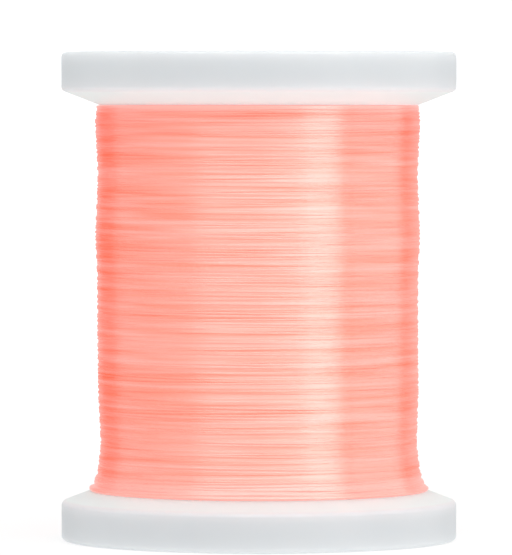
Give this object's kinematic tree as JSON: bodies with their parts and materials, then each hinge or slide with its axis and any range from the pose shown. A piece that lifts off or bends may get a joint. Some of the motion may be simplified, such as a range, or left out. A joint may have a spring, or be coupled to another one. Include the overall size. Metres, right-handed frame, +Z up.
{
  "type": "fishing line spool",
  "caption": "Small white plastic spool with thick coned flanges and a through bore, full of fine coral monofilament. One flange lifts to nip the line's end.",
  "frame": {"origin": "centre of the lower rim's resting face, on the spool's axis", "axes": "+Z up the spool's axis, towards the flange that lifts; +X through the small hole in the barrel that anchors the line"},
  "size_m": [0.028, 0.028, 0.0346],
  "materials": {
    "white_plastic": "satin, slightly milky injection moulding",
    "monofilament": "bright coral drawn nylon, glossy strand by strand",
    "label_card": "smooth printed card"
  },
  "bodies": {
    "spool_body": {"core_barrel": "white_plastic", "lower_flange": "white_plastic", "line_winding": "monofilament", "lower_label": "label_card"},
    "lifting_flange": {"upper_flange": "white_plastic", "upper_label": "label_card"}
  },
  "joints": [
    {"name": "flange_lift", "type": "slide", "parent": "spool_body", "child": "lifting_flange", "axis": [0, 0, 1], "range_m": [0, 0.0015]}
  ]
}
